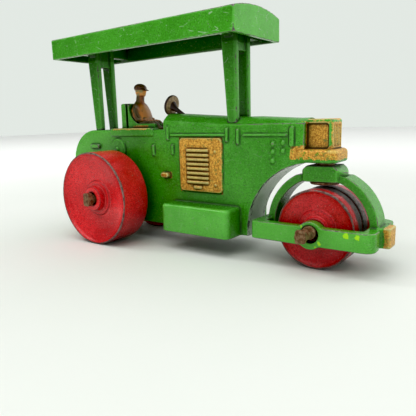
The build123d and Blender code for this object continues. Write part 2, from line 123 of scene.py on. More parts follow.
def roughen(mesh, points, depth, scale, offset=0.0):
    """Puts the mesh at points, made uneven along their normals; returns the new points."""
    set_points(mesh, points)
    points = points + normals_of(mesh) * (depth * fold(points, scale, offset))[:, None]
    set_points(mesh, points)
    return points


def soft_skin(mesh, voxel, rounds):
    """Even skin of small quads over closed shapes, and its relaxed points; uses the mesh up."""
    source = link("skin source", mesh)
    modifier = source.modifiers.new("remesh", "REMESH")
    modifier.mode = "VOXEL"
    modifier.voxel_size = voxel
    evaluated = source.evaluated_get(bpy.context.evaluated_depsgraph_get())
    result = bpy.data.meshes.new_from_object(evaluated)
    bpy.data.objects.remove(source)
    bpy.data.meshes.remove(mesh)
    return result, relax(points_of(result), edges_of(result), rounds)


def cad_copy(name):
    """Mesh of a CAD node."""
    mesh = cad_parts[name].data.copy()
    mesh.transform(Matrix.Scale(1 / MM, 4))
    return mesh


def union_of(shapes):
    """One mesh from (points, faces) pairs that may overlap."""
    points, faces = [], []
    for shape_points, shape_faces in shapes:
        start = len(points)
        points += [tuple(p) for p in shape_points]
        faces += [[start + index for index in face] for face in shape_faces]
    mesh = bpy.data.meshes.new("solid")
    mesh.from_pydata(points, [], faces)
    return mesh


def turns(count):
    return [2 * math.pi * step / count for step in range(count)]


def tube(path, radii, sides=28):
    """Closed limb along a path; radii are the (across, along) pairs of its elliptical sections."""
    path = [Vector(p) for p in path]
    nearly_x = Vector((1, 0, 0.001))
    points = []
    for index, centre in enumerate(path):
        before, after = path[max(index - 1, 0)], path[min(index + 1, len(path) - 1)]
        direction = (after - before).normalized()
        across = direction.cross(nearly_x).normalized()
        along = across.cross(direction)
        wide, deep = radii[index]
        points += [centre + across * wide * math.cos(t) + along * deep * math.sin(t)
                   for t in turns(sides)]
    points += [path[0], path[-1]]
    first_cap, last_cap = len(points) - 2, len(points) - 1
    last_ring = (len(path) - 1) * sides
    faces = []
    for side in range(sides):
        after = (side + 1) % sides
        for ring in range(0, last_ring, sides):
            faces.append((ring + side, ring + after, ring + after + sides, ring + side + sides))
        faces.append((first_cap, after, side))
        faces.append((last_cap, last_ring + side, last_ring + after))
    return points, faces


def ball(centre, radii, lean=0.0, rows=14, sides=28):
    """Ellipsoid, leaned forwards about Y by an angle in degrees."""
    turn = Matrix.Rotation(math.radians(lean), 3, "Y")
    local = [(0, 0, 1)]
    for row in range(1, rows):
        down = math.pi * row / rows
        local += [(math.sin(down) * math.cos(t), math.sin(down) * math.sin(t), math.cos(down))
                  for t in turns(sides)]
    local.append((0, 0, -1))
    points = [turn @ (Vector(p) * Vector(radii)) + Vector(centre) for p in local]
    bottom = len(points) - 1
    last_ring = 1 + (rows - 2) * sides
    faces = []
    for side in range(sides):
        after = (side + 1) % sides
        faces.append((0, 1 + side, 1 + after))
        for ring in range(1, last_ring, sides):
            faces.append((ring + side, ring + side + sides, ring + after + sides, ring + after))
        faces.append((bottom, last_ring + after, last_ring + side))
    return points, faces


def lathe(profile, centre, segments, spacing=0.08, rounds=3):
    """Closed (radius, y) outline, its corners softened, turned about the Y axis."""
    corners = [np.array(p, float) for p in profile]
    dense = []
    for start, end in zip(corners, corners[1:] + corners[:1]):
        steps = max(1, round(np.linalg.norm(end - start) / spacing))
        dense += [start + (end - start) * step / steps for step in range(steps)]
    outline = np.array(dense)
    for _ in range(rounds):
        outline += 0.5 * ((np.roll(outline, 1, 0) + np.roll(outline, -1, 0)) / 2 - outline)
    radius, y = outline.T
    angles = np.array(turns(segments))
    points = np.stack([
        centre[0] + np.outer(np.cos(angles), radius),
        centre[1] + np.outer(np.ones(segments), y),
        centre[2] + np.outer(np.sin(angles), radius),
    ], axis=2).reshape(-1, 3)
    count = len(outline)
    faces = []
    for segment in range(segments):
        a, b = segment * count, (segment + 1) % segments * count
        for index in range(count):
            after = (index + 1) % count
            faces.append((a + index, a + after, b + after, b + index))
    mesh = bpy.data.meshes.new("lathe")
    mesh.from_pydata(points.tolist(), [], faces)
    mesh.update()
    return mesh


def depth_in_box(points, x, y, z):
    """Depth inside a box, negative outside; x counts from the rear axle, y from the middle."""
    local = np.stack([points[:, 0] - AXLE_X, np.abs(points[:, 1]), points[:, 2]], axis=1)
    low, high = np.array([x, y, z]).T
    return np.minimum(local - low, high - local).min(axis=1)


def finish_piece(name, node, mesh, material, body, wear_rounds=12, wear_size=0.05,
                 masks=None):
    """Adds wear and masks to a mesh in millimetres, then puts it on its body for its CAD node.

    Wear is how far a vertex stands above (or below) its relaxed surroundings, in wear sizes.
    """
    points = points_of(mesh)
    lift = points - relax(points, edges_of(mesh), wear_rounds)
    store(mesh, "wear", (lift * normals_of(mesh)).sum(axis=1) / wear_size)
    for mask, values in (masks or {}).items():
        store(mesh, mask, values)
    set_points(mesh, points * MM)
    mesh.shade_smooth()
    mesh.materials.clear()
    mesh.materials.append(material)
    mesh.name = name
    obj = link(name, mesh)
    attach(obj, body)
    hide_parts(node)


# ---------------------------------------------------------------- materials
class Graph:
    """Short way of wiring a shader tree. Values may be numbers, colours or sockets."""

    MAP_LOW, MAP_HIGH = 1, 2                # sockets of a map range node
    MIX_A, MIX_B, MIX_RESULT = 6, 7, 2      # colour sockets of a mix node

    def __init__(self, tree):
        self.tree = tree

    def node(self, kind):
        return self.tree.nodes.new(kind)

    def put(self, socket, value):
        if isinstance(value, bpy.types.NodeSocket):
            self.tree.links.new(value, socket)
        elif isinstance(value, tuple) and len(value) == 3 and len(socket.default_value) == 4:
            socket.default_value = (*value, 1)
        else:
            socket.default_value = value

    def vector(self, operation, a, **settings):
        node = self.node("ShaderNodeVectorMath")
        node.operation = operation
        self.put(node.inputs[0], a)
        for name, value in settings.items():
            self.put(node.inputs[name], value)
        return node

    def calculate(self, operation, a, b):
        node = self.node("ShaderNodeMath")
        node.operation = operation
        self.put(node.inputs[0], a)
        self.put(node.inputs[1], b)
        return node.outputs[0]

    def add(self, *values):
        total = values[0]
        for value in values[1:]:
            total = self.calculate("ADD", total, value)
        return total

    def times(self, a, b):
        return self.calculate("MULTIPLY", a, b)

    def most(self, a, b):
        return self.calculate("MAXIMUM", a, b)

    def inverse(self, value):
        return self.calculate("SUBTRACT", 1.0, value)

    def step(self, value, low, high):
        """Smooth rise from 0 at low to 1 at high, or fall where low is the larger."""
        node = self.node("ShaderNodeMapRange")
        node.interpolation_type = "SMOOTHSTEP"
        self.put(node.inputs[0], value)
        node.inputs[self.MAP_LOW].default_value = low
        node.inputs[self.MAP_HIGH].default_value = high
        return node.outputs[0]

    def mix(self, share, a, b):
        node = self.node("ShaderNodeMix")
        node.data_type = "RGBA"
        self.put(node.inputs[0], share)
        self.put(node.inputs[self.MIX_A], a)
        self.put(node.inputs[self.MIX_B], b)
        return node.outputs[self.MIX_RESULT]


class Paint(Graph):
    """Graph of a new material, with patterns measured in millimetres."""

    def __init__(self, name):
        self.material = bpy.data.materials.new(name)
        self.material.use_nodes = True
        super().__init__(self.material.node_tree)
        place = self.node("ShaderNodeTexCoord").outputs["Object"]
        self.mm = self.vector("SCALE", place, Scale=1 / MM).outputs[0]

    def stretched(self, scale, turn=0.0):
        """Place with each axis scaled, turned about Y by an angle in degrees."""
        node = self.node("ShaderNodeMapping")
        self.put(node.inputs["Vector"], self.mm)
        node.inputs["Scale"].default_value = scale
        node.inputs["Rotation"].default_value = (0, math.radians(turn), 0)
        return node.outputs[0]

    def noise(self, scale, detail=2.0, roughness=0.5, place=None):
        """Cloudy value around 0.5, its features about 1 / scale wide."""
        node = self.node("ShaderNodeTexNoise")
        self.put(node.inputs["Vector"], place or self.mm)
        node.inputs["Scale"].default_value = scale
        node.inputs["Detail"].default_value = detail
        node.inputs["Roughness"].default_value = roughness
        return node.outputs[0]

    def jitter(self, cloud, amount):
        """Noise moved to lie around zero, times an amount."""
        return self.times(self.add(cloud, -0.5), amount)

    def cracks(self, scale, place):
        """Distance to the nearest cell edge of a cell pattern."""
        node = self.node("ShaderNodeTexVoronoi")
        node.feature = "DISTANCE_TO_EDGE"
        self.put(node.inputs["Vector"], place)
        node.inputs["Scale"].default_value = scale
        return node.outputs["Distance"]

    def attribute(self, name):
        node = self.node("ShaderNodeAttribute")
        node.attribute_name = name
        return node.outputs["Fac"]

    def creases(self, reach):
        """Openness of the surroundings within reach: 1 in the open, 0.5 in a square corner."""
        node = self.node("ShaderNodeAmbientOcclusion")
        node.samples = 6
        node.inputs["Distance"].default_value = reach * MM
        return node.outputs["AO"]

    def bump(self, height, depth):
        node = self.node("ShaderNodeBump")
        node.inputs["Distance"].default_value = depth * MM
        self.put(node.inputs["Height"], height)
        return node.outputs[0]

    def finish(self, **settings):
        shader = self.tree.nodes["Principled BSDF"]
        for name, value in settings.items():
            self.put(shader.inputs[name.replace("_", " ")], value)
        return self.material


GREEN = dict(colour=(0.078, 0.395, 0.022), deep=(0.050, 0.300, 0.010), bright=(0.150, 0.520, 0.085))
RED = dict(colour=(0.900, 0.040, 0.048), deep=(0.620, 0.010, 0.014), bright=(1.000, 0.130, 0.130))
FRESH_GREEN = (0.42, 0.80, 0.01)
ZINC = (0.42, 0.39, 0.35)
STEEL, RUST, BRIGHT_STEEL = (0.34, 0.23, 0.13), (0.17, 0.075, 0.030), (0.42, 0.36, 0.30)


def shade(colour, factor, lift=0.0):
    return tuple(lift + factor * value for value in colour)


def bronze(g, wear):
    """Speckled bronze paint, paler on raised edges (worn paint and painted highlight) and red-brown
    in the hollows as painted shade.
    """
    speckle = g.step(g.noise(5.5, 3, 0.7), 0.35, 0.65)
    colour = g.mix(speckle, (0.42, 0.17, 0.014), (0.86, 0.54, 0.105))
    colour = g.mix(g.step(g.noise(2.2, 3), 0.55, 0.72), colour, (0.26, 0.24, 0.05))
    # paler on raised edges: worn paint and painted highlight
    colour = g.mix(g.times(g.step(wear, 0.5, 1.5), 0.8), colour, (0.66, 0.62, 0.24))
    # painted shade: red-brown in the hollows between bars
    return g.mix(g.step(wear, -0.3, -1.1), colour, (0.30, 0.075, 0.006))


def enamel(name, palette, masks, scratched=0.12):
    """Old stoved enamel over zinc: uneven colour, worn edges, chips, scratches and dirt in hollows,
    with painted highlights on the edges and painted shade in creases and under parts.

    The masks are those a piece carries: gold (bronze paint), bare (rolled off), fresh (unfaded
    dabs), arch (pale painted reflection with dark painted-shade streaks, more towards arch_rim),
    faded (paler where light falls) and inside (painted shade under the roof).
    """
    g = Paint(name)
    deep, bright = palette["deep"], palette["bright"]
    cloud, grain, fine = g.noise(0.6, 4), g.noise(7, 2), g.noise(3, 5, 0.6)
    wear = g.attribute("wear")
    edge_wear_and_sheen = g.add(wear, g.jitter(fine, 1.9), g.jitter(cloud, 1.5))

    # colour of the paint
    paint = g.mix(g.step(g.noise(0.13, 3), 0.35, 0.65), deep, palette["colour"])
    paint = g.mix(g.times(g.step(cloud, 0.45, 0.75), 0.22), paint, bright)
    paint = g.mix(g.times(g.step(grain, 0.48, 0.68), 0.8), paint, shade(deep, 0.6))
    paint = g.mix(g.times(g.step(g.noise(5.5, 3, 0.6), 0.54, 0.68), 0.55), paint, bright)
    # painted light: paler paint on faces where light falls
    if "faded" in masks:
        faded = g.times(g.attribute("faded"), g.add(0.75, g.jitter(cloud, 0.8)))
        paint = g.mix(faded, paint, shade(bright, 1.15))
    # painted highlight: raised edges paler, partly worn paint and partly a painted sheen
    paint = g.mix(g.times(g.step(edge_wear_and_sheen, 0.35, 1.2), 0.65), paint, bright)
    scratches = g.step(g.cracks(0.55, g.stretched((0.5, 1, 1.6), 24)), 0.022, 0.008)
    scratches = g.times(scratches, g.step(g.noise(1.3, 2), 0.56, 0.63))
    paint = g.mix(g.times(scratches, scratched), paint, shade(bright, 0.5, 0.35))
    pits = g.step(g.noise(4.5, 3, 0.7), 0.66, 0.7)
    paint = g.mix(g.times(pits, 0.7), paint, shade(deep, 0.25))

    # where the metal shows, where dirt sits in hollows, and painted shade in creases
    flecks = g.step(g.noise(1.9, 6, 0.75), 0.66, 0.69)
    sparks = g.step(g.noise(3.6, 3, 0.65), 0.64, 0.67)
    bare = g.most(g.most(g.step(edge_wear_and_sheen, 1.5, 1.8), g.times(flecks, 0.6)), g.times(sparks, 0.28))
    if "bare" in masks:
        rolled = g.add(g.attribute("bare"), g.jitter(fine, 0.9), g.jitter(cloud, 0.7))
        bare = g.most(bare, g.times(g.step(rolled, -0.05, 0.3), g.step(grain, 0.25, 0.45)))
    hollow = g.times(g.step(wear, -0.2, -1.1), g.step(cloud, 0.25, 0.5))
    # painted shade: darker in tight creases and corners
    corner = g.step(g.creases(0.6), 0.88, 0.5)
    grime_and_crease_shade = g.most(g.times(hollow, 0.75), g.times(corner, 0.8))

    rough = g.add(0.15, g.times(cloud, 0.16), g.times(grime_and_crease_shade, 0.3))
    metallic = 0.0
    if "gold" in masks:
        ragged = g.add(g.attribute("gold"), g.jitter(fine, 0.5), g.jitter(cloud, 0.5))
        gold = g.step(ragged, -0.03, 0.05)
        paint = g.mix(gold, paint, bronze(g, wear))
        rough = g.add(rough, g.times(gold, 0.15))
        metallic = g.times(gold, 0.2)
        bare = g.times(bare, g.inverse(g.times(gold, 0.75)))
    metal = g.mix(g.step(fine, 0.35, 0.65), ZINC, shade(ZINC, 0.3))
    base = g.mix(bare, paint, metal)
    # darker towards the deep colour where dirt sits in hollows and where crease shade is painted
    base = g.mix(g.times(grime_and_crease_shade, g.inverse(g.times(bare, 0.5))), base, shade(deep, 0.12))
    if "fresh" in masks:
        fresh = g.step(g.add(g.attribute("fresh"), g.jitter(fine, 0.7)), 0.0, 0.08)
        base = g.mix(fresh, base, FRESH_GREEN)
    if "arch" in masks:
        under_arch = g.step(g.attribute("arch"), 0.0, 0.08)
        streaks = g.noise(1.1, 5, 0.6, g.stretched((0.8, 2.2, 0.8)))
        streaks = g.add(streaks, g.times(g.attribute("arch_rim"), 0.28))
        dark = g.times(g.step(streaks, 0.5, 0.58), 0.95)
        # painted reflection: pale colour under the arch, as if the bright table were mirrored there
        base = g.mix(g.times(under_arch, 0.85), base, (0.58, 0.70, 0.55))
        # painted shade: near-black streaks under the arch
        base = g.mix(g.times(under_arch, dark), base, (0.004, 0.012, 0.006))
        rough = g.mix(under_arch, rough, (0.12, 0.12, 0.12))
    if "inside" in masks:
        # painted shade: darker inside the roof and on the posts under it
        base = g.mix(g.times(g.attribute("inside"), 0.62), base, shade(deep, 0.12))
    # painted shade: colour darkened where other parts close it in within 6 mm, under and between
    # them
    painted_occlusion_shade = g.add(0.45, g.times(g.creases(6), 0.55))
    base = g.mix(painted_occlusion_shade, (0, 0, 0), base)
    rough = g.add(g.times(rough, g.inverse(bare)), g.times(bare, 0.5))
    height = g.add(g.times(cloud, 0.6), g.times(grain, 0.3), g.times(bare, -0.35))
    return g.finish(
        Base_Color=base, Roughness=rough, Metallic=g.most(metallic, g.times(bare, 0.4)),
        Normal=g.bump(height, 0.09), Specular_IOR_Level=0.5,
    )


def steel():
    """Dull steel gone brown, with a streaky grain."""
    g = Paint("browned steel")
    streaks = g.noise(2.0, 4, 0.6, g.stretched((5, 0.7, 1.5)))
    spots = g.noise(2.6, 5, 0.65)
    base = g.mix(g.step(spots, 0.4, 0.62), STEEL, RUST)
    base = g.mix(g.times(g.step(streaks, 0.5, 0.7), 0.7), base, shade(RUST, 0.3))
    base = g.mix(g.times(g.step(g.attribute("wear"), 0.35, 1.2), 0.6), base, BRIGHT_STEEL)
    return g.finish(
        Base_Color=base, Roughness=g.add(0.38, g.times(spots, 0.25)), Metallic=0.55,
        Normal=g.bump(g.add(streaks, spots), 0.05),
    )


def figure_paint():
    """Brown paint on the driver: dark cap, gold worn into the face, paler worn edges with painted
    highlight, painted shade on the flanks and a painted highlight on the chest.

    The zone mask is 0 on the coat, 1 on the face and 2 on the cap; front is the distance forward
    of the spine.
    """
    g = Paint("figure paint")
    cloud, fine = g.noise(0.9, 3), g.noise(4, 4, 0.6)
    wear = g.attribute("wear")
    zone = g.add(g.attribute("zone"), g.jitter(fine, 0.25))
    front = g.add(g.attribute("front"), g.jitter(fine, 0.5))
    side = g.times(g.step(front, -0.45, -0.1), g.step(front, 0.6, 0.2))
    coat = g.mix(g.step(cloud, 0.4, 0.62), (0.24, 0.075, 0.010), (0.46, 0.180, 0.020))
    coat = g.mix(g.step(g.noise(1.4, 2), 0.55, 0.68), coat, (0.09, 0.045, 0.008))
    # painted shade: darker flanks, level with the spine
    coat = g.mix(side, coat, (0.085, 0.060, 0.012))
    # painted highlight: paler chest
    coat = g.mix(g.times(g.step(front, 0.65, 0.95), 0.5), coat, (0.52, 0.30, 0.15))
    face = g.mix(g.step(g.noise(1.8, 3), 0.45, 0.6), (0.62, 0.30, 0.07), (0.30, 0.26, 0.10))
    cap = g.mix(g.step(fine, 0.4, 0.7), (0.055, 0.018, 0.006), (0.20, 0.085, 0.02))
    base = g.mix(g.step(zone, 0.4, 0.6), coat, face)
    base = g.mix(g.step(zone, 1.4, 1.6), base, cap)
    # paler raised edges: worn paint and painted highlight
    edge_wear_and_sheen = g.step(g.add(wear, g.jitter(fine, 1.4)), 0.75, 1.3)
    base = g.mix(g.times(edge_wear_and_sheen, 0.6), base, (0.50, 0.33, 0.20))
    base = g.mix(g.step(wear, -0.3, -1.2), base, (0.03, 0.012, 0.004))
    return g.finish(
        Base_Color=base, Roughness=g.add(0.26, g.times(cloud, 0.2)),
        Normal=g.bump(g.add(fine, cloud), 0.03), Coat_Weight=0.3, Coat_Roughness=0.15,
    )


def wheel_paint():
    """Brown paint worn to grey-tan on the steering wheel; near-black where masked: painted shade on
    the cone and column, and a dark rim.
    """
    g = Paint("steering wheel paint")
    spots = g.noise(2.4, 4, 0.6)
    base = g.mix(g.step(spots, 0.42, 0.6), (0.26, 0.17, 0.085), (0.44, 0.31, 0.18))
    # painted shade: near-black on the cone and column, and on the rim
    base = g.mix(g.step(g.attribute("dark"), 0.0, 0.25), base, (0.030, 0.012, 0.007))
    base = g.mix(g.times(g.step(g.attribute("wear"), 0.8, 1.6), 0.5), base, (0.40, 0.34, 0.24))
    return g.finish(Base_Color=base, Roughness=0.36, Normal=g.bump(spots, 0.03))


# ---------------------------------------------------------------- castings
def casting(name, body, material, voxel, rounds, reshape=None, **painters):
    """Soft-edged skin over a CAD node, slightly uneven as cast, with a mask from each painter."""
    mesh, points = soft_skin(cad_copy(name), voxel, rounds)
    if reshape:
        reshape(points)
    points = roughen(mesh, points, depth=0.012, scale=0.45)
    normals = normals_of(mesh)
    masks = {mask: painter(points, normals) for mask, painter in painters.items()}
    finish_piece(name + "_casting", name, mesh, material, body,
                 wear_rounds=14, wear_size=0.022, masks=masks)


def lower_crown(points):
    """The bonnet's crown dies away a little towards the radiator."""
    falls_from, radiator, shoulder_z, drop = 21.5, 27.75, 15.6, 0.35
    forward = points[:, 0] - AXLE_X
    share = np.clip((forward - falls_from) / 5, 0, 1) * (forward < radiator)
    points[:, 2] -= drop * share * np.clip(points[:, 2] - shoulder_z, 0, 1)


def slim_pad(points):
    """The pivot pad's top slopes down to the hoop at its two ends."""
    flat_half, pad_z, drop = 1.45, 10.0, 0.75
    beyond = np.clip(np.abs(points[:, 0] - AXLE_X - STEER_X) - flat_half, 0, 1)
    points[:, 2] -= drop * beyond * np.clip((points[:, 2] - pad_z) * 1.5, 0, 1)


def arch_underside(points, normals):
    """Underside of the arch over the front roller, painted pale as a reflection with dark
    painted-shade streaks.
    """
    reach, half_width = 0.25, 1.95
    out = np.hypot(points[:, 0] - AXLE_X - ARCH_X, points[:, 2] - ARCH_Z)
    beside = np.clip(np.abs(points[:, 1]) - half_width, 0, 1)
    return reach - np.abs(out - ARCH_RADIUS) - 2 * beside


def arch_rim(points, normals):
    """Outer parts of the arch's underside, from -1.7 in the middle to above zero at the rims, where
    more painted-shade streaks fall.
    """
    return np.abs(points[:, 1]) - 1.7


def body_faded(points, normals):
    """Painted light: paler paint on the fenders and on the outer face and top of the boxes, where
    light falls.
    """
    fender = 0.6 * np.clip((AXLE_X + 2.5 - points[:, 0]) / 6, 0, 1)
    box = 0.65 * np.clip((np.abs(points[:, 1]) - 4.2) * 2, 0, 1)
    return np.maximum(fender, box)


def body_gold(points, normals):
    """Where bronze paint was brushed on the main casting."""
    side_y, nose_y = (1.95, 3.0), (-0.1, 1.6)
    plate = depth_in_box(points, (10.45, 17.15), side_y, (7.2, 14.1))
    plate = plate - 0.55 * np.clip(-normals[:, 2] - 0.35, 0, 1)
    handle = depth_in_box(points, (7.3, 9.0), side_y, (8.8, 9.6))
    panel = depth_in_box(points, (27.15, 30.1), (0.9, 1.6), (12.7, 15.7))
    rim = depth_in_box(points, (27.5, 31.0), nose_y, (15.75, 16.3)) - 0.12
    front = depth_in_box(points, (30.25, 31.0), nose_y, (12.6, 15.7)) - 0.05
    skirt = depth_in_box(points, (26.0, 31.4), (-0.1, 2.6), (11.75, 13.2))
    skirt = np.minimum(skirt, 0.10)
    deck = depth_in_box(points, (-1.7, 5.8), (1.75, 2.4), (14.95, 15.5)) - 0.15
    step = depth_in_box(points, (1.6, 4.4), (1.3, 2.2), (15.1, 15.6))
    return np.max([plate, handle, panel, rim, front, skirt, deck, step], axis=0)


def roof_faded(points, normals):
    """Painted light: paler paint on the front end of the roof, which faces the light."""
    return 0.7 * np.clip(normals[:, 0] - 0.2, 0, 1)


def shade_under_roof(points, normals):
    """Painted shade inside the roof tray, and the posts under the roof a little dark as painted
    shade.
    """
    tray = depth_in_box(points, (-9.7, 20.6), (-5.0, 4.8), (24.0, 27.75))
    return np.where(points[:, 2] > 24.9, np.clip(tray * 8, 0, 1), 0.35)


def nose_gold(points, normals):
    """Bronze paint on the fork's nose."""
    return depth_in_box(points, (35.95, 37.0), (-0.1, 1.25), (2.0, 5.4))


def fork_faded(points, normals):
    """Painted light: paler paint on the outer faces of the bars."""
    return 0.55 * np.clip(np.abs(points[:, 1]) - 3.4, 0, 0.5) * 2


def fork_fresh(points, normals):
    """Dabs of unfaded yellow-green paint on the right-hand bar and beside its eye."""
    dabs = [  # forward, up, radius
        (33.1, 4.5, 0.34), (34.2, 4.45, 0.30), (30.3, 3.3, 0.22), (28.3, 4.9, 0.16),
        (29.9, 2.9, 0.12),
    ]
    x, y, z = points[:, 0] - AXLE_X, points[:, 1], points[:, 2]
    depth = [radius - np.hypot(x - forward, z - up) for forward, up, radius in dabs]
    return np.where(y < -3.85, np.max(depth, axis=0), -2.0)


body_green = enamel("green enamel", GREEN, ("gold", "arch", "faded"))
roof_green = enamel("scratched green enamel", GREEN, ("faded", "inside"), scratched=0.75)
fork_green = enamel("green enamel on the fork", GREEN, ("gold", "fresh", "faded"))
casting("body", "chassis", body_green, voxel=0.075, rounds=2, reshape=lower_crown,
        gold=body_gold, arch=arch_underside, arch_rim=arch_rim, faded=body_faded)
casting("canopy", "chassis", roof_green, voxel=0.09, rounds=3,
        faded=roof_faded, inside=shade_under_roof)
casting("fork", "steering_frame", fork_green, voxel=0.075, rounds=3, reshape=slim_pad,
        gold=nose_gold, fresh=fork_fresh, faded=fork_faded)


# ---------------------------------------------------------------- axles and rivet
dark_steel = steel()


def rod(name, body, full_to=None):
    """Hammered axle or rivet over its CAD node, thinner further than full_to from the middle."""
    mesh, points = soft_skin(cad_copy(name), voxel=0.06, rounds=4)
    if full_to is not None:
        middle = middle_mm(name)
        share = 1 - 0.18 * np.clip((np.abs(points[:, 1]) - full_to) / 0.3, 0, 1)
        for axis in (0, 2):
            points[:, axis] = middle[axis] + (points[:, axis] - middle[axis]) * share
    roughen(mesh, points, depth=0.035, scale=1.1, offset=3.0)
    finish_piece(name + "_steel", name, mesh, dark_steel, body)


rod("front_axle", "steering_frame", full_to=4.1)
rod("rear_axle", "chassis", full_to=7.2)
rod("pivot_rivet", "chassis")


# ---------------------------------------------------------------- wheels
BORE = 0.84
red = enamel("red enamel", RED, ("bare",))


def wheel(name, body, outline, segments, bare):
    """Cast wheel turned from its outline, with a slightly battered rim and tread."""
    low, high = box_mm(name)
    centre = (low + high) / 2
    outer = -1 if centre[1] < 0 else 1
    half = (high[1] - low[1]) / 2
    profile = outline(high[2] - centre[2], 2 * half)
    profile = [(radius, outer * (y - half)) for radius, y in profile]
    mesh = lathe(profile, centre, segments)
    points = points_of(mesh)
    local = points - centre
    distance = np.hypot(local[:, 0], local[:, 2])
    hub = 1.5
    share = np.clip((distance - hub) / (distance.max() - hub), 0, 1)
    points[:, 1] += outer * 0.03 * share * fold(points, 0.35, 5.0)
    dent = np.clip(0.02 * fold(points, 0.8, 9.0) * share ** 4, 0, 1)
    for axis in (0, 2):
        points[:, axis] -= dent * local[:, axis] / np.maximum(distance, 0.1)
    set_points(mesh, points)
    masks = {"bare": bare(local, distance, half - outer * local[:, 1])}
    finish_piece(name + "_turned", name, mesh, red, body,
                 wear_rounds=10, wear_size=0.035, masks=masks)


def rear_outline(radius, width):
    """Bowl-faced rear wheel: (radius, y) corners, y from 0 at the inner face to the width."""
    bowl = [(5.95, 0.0), (5.7, 0.30), (5.1, 0.62), (4.3, 0.86), (3.5, 1.02), (2.7, 1.12),
            (2.4, 1.14)]
    ring = [(2.36, 0.92), (1.85, 0.90), (1.72, 0.92), (1.62, 0.05), (BORE, 0.03)]
    face = [(radius, 0.06), (6.08, 0.0)] + bowl + ring
    back = [(BORE, 0.0), (1.7, 0.0), (2.0, 0.9), (5.5, 0.9), (5.8, 0.0), (6.1, 0.0), (radius, 0.1)]
    return [(r, width - depth) for r, depth in face] + back


def front_outline(radius, width):
    """Half of the front roll, given in the same way."""
    bowl = [(4.12, 0.0), (3.95, 0.22), (3.5, 0.42), (2.9, 0.56), (2.3, 0.66), (2.12, 0.68)]
    ring = [(2.08, 0.46), (1.55, 0.44), (1.42, 0.46), (1.3, 0.05), (BORE, 0.03)]
    face = [(radius, 0.05), (4.26, 0.0)] + bowl + ring
    back = [(BORE, 0.0), (1.4, 0.0), (1.6, 0.3), (3.9, 0.3), (4.1, 0.0), (4.28, 0.0),
            (radius, 0.08)]
    return [(r, width - depth) for r, depth in face] + back


def worn_line(distance, from_outer, radius, depth, strength, fall):
    """Worn line round a wheel at a radius and a depth from its outer face."""
    return strength - fall * np.hypot(distance - radius, from_outer - depth)


def rear_bare(local, distance, from_outer):
    """Paint lost in specks on the rear treads and in thin lines round the rim and the ring."""
    edge = distance.max()
    tread = np.where(distance > edge - 0.08, -0.24, -2.0)
    rim = worn_line(distance, from_outer, edge - 0.07, 0.04, 0.42, 2.4)
    ring = worn_line(distance, from_outer, 2.38, 1.12, 0.08, 2.6)
    return np.max([tread, rim, ring], axis=0)


def front_bare(local, distance, from_outer):
    """Paint rolled off the inner part of each front tread; a broad bare patch on the rim."""
    edge = distance.max()
    tread = np.where(distance > edge - 0.1, (from_outer - 1.1) * 0.8, -2.0)
    patch_angle, patch_radius = 0.75, 4.22
    turned = np.abs(np.arctan2(local[:, 2], local[:, 0]) - patch_angle)
    patch = 0.55 - 1.1 * turned - 2.2 * np.abs(distance - patch_radius) - 1.6 * np.abs(from_outer)
    rim = worn_line(distance, from_outer, edge - 0.07, 0.04, 0.42, 2.4)
    ring = worn_line(distance, from_outer, 2.1, 0.66, 0.12, 2.6)
    return np.max([tread, patch, rim, ring], axis=0)


for side in ("left", "right"):
    wheel("rear_wheel_" + side, "rear_roll_" + side, rear_outline, 288, rear_bare)
    wheel("roller_" + side, "front_roll_" + side, front_outline, 224, front_bare)


